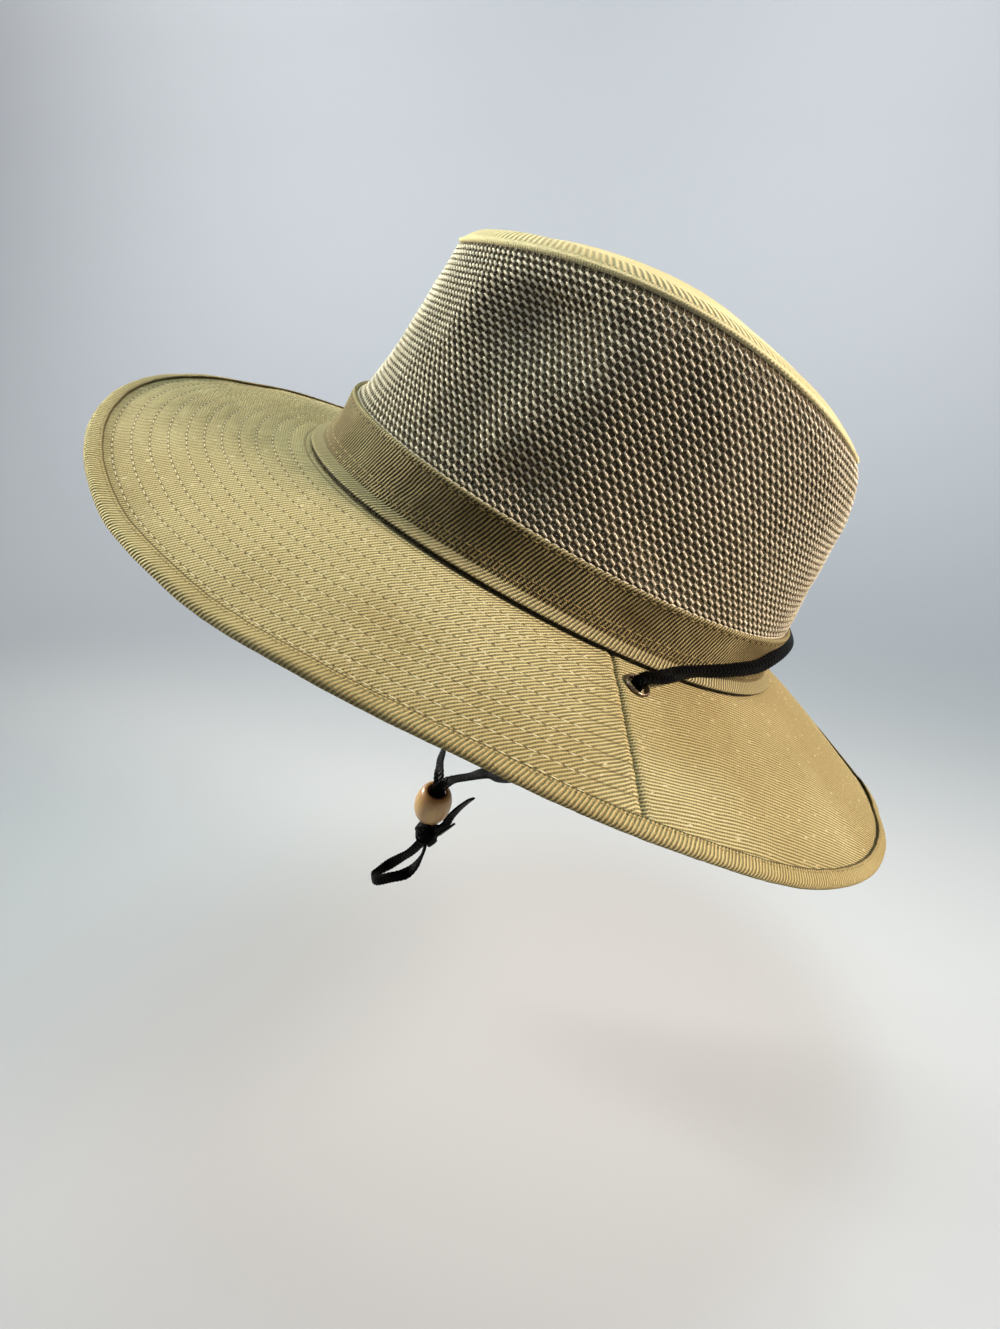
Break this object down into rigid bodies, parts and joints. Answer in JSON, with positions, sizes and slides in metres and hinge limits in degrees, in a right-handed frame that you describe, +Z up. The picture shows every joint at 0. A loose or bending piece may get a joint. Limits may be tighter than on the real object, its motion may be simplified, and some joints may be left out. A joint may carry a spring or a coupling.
{
  "type": "safari hat",
  "caption": "Khaki safari hat with a wide quilted brim, a net crown wall, a domed cloth top and a black chin cord that runs through a wooden slide bead.",
  "frame": {"origin": "middle of the head opening, at the level of the hat band's hem", "axes": "+Z up, -Y to the front, +X to the wearer's left; the hat leans back as it is worn, so its own upright axis is (0, 0.477, 0.879)"},
  "size_m": [0.3421, 0.3267, 0.3006],
  "materials": {
    "brim_cloth": "matte cotton twill",
    "tape_cloth": "matte ribbed tape",
    "band_cloth": "matte ribbed cotton",
    "net_cloth": "matte knitted net",
    "top_cloth": "matte cotton twill",
    "cord_braid": "satin flat braid",
    "bead_wood": "satin varnish",
    "eyelet_metal": "antique bronze"
  },
  "bodies": {
    "root": {"brim_front": "brim_cloth", "brim_back": "brim_cloth", "brim_binding": "tape_cloth", "hat_band": "band_cloth", "crown_net": "net_cloth", "crown_top": "top_cloth", "eyelet_left": "eyelet_metal", "eyelet_right": "eyelet_metal", "chin_cord_back": "cord_braid", "chin_cord_left": "cord_braid", "chin_cord_right": "cord_braid", "cord_loop": "cord_braid", "cord_end_long": "cord_braid", "cord_end_short": "cord_braid", "cord_knot": "cord_braid", "cord_bead": "bead_wood"}
  },
  "joints": []
}
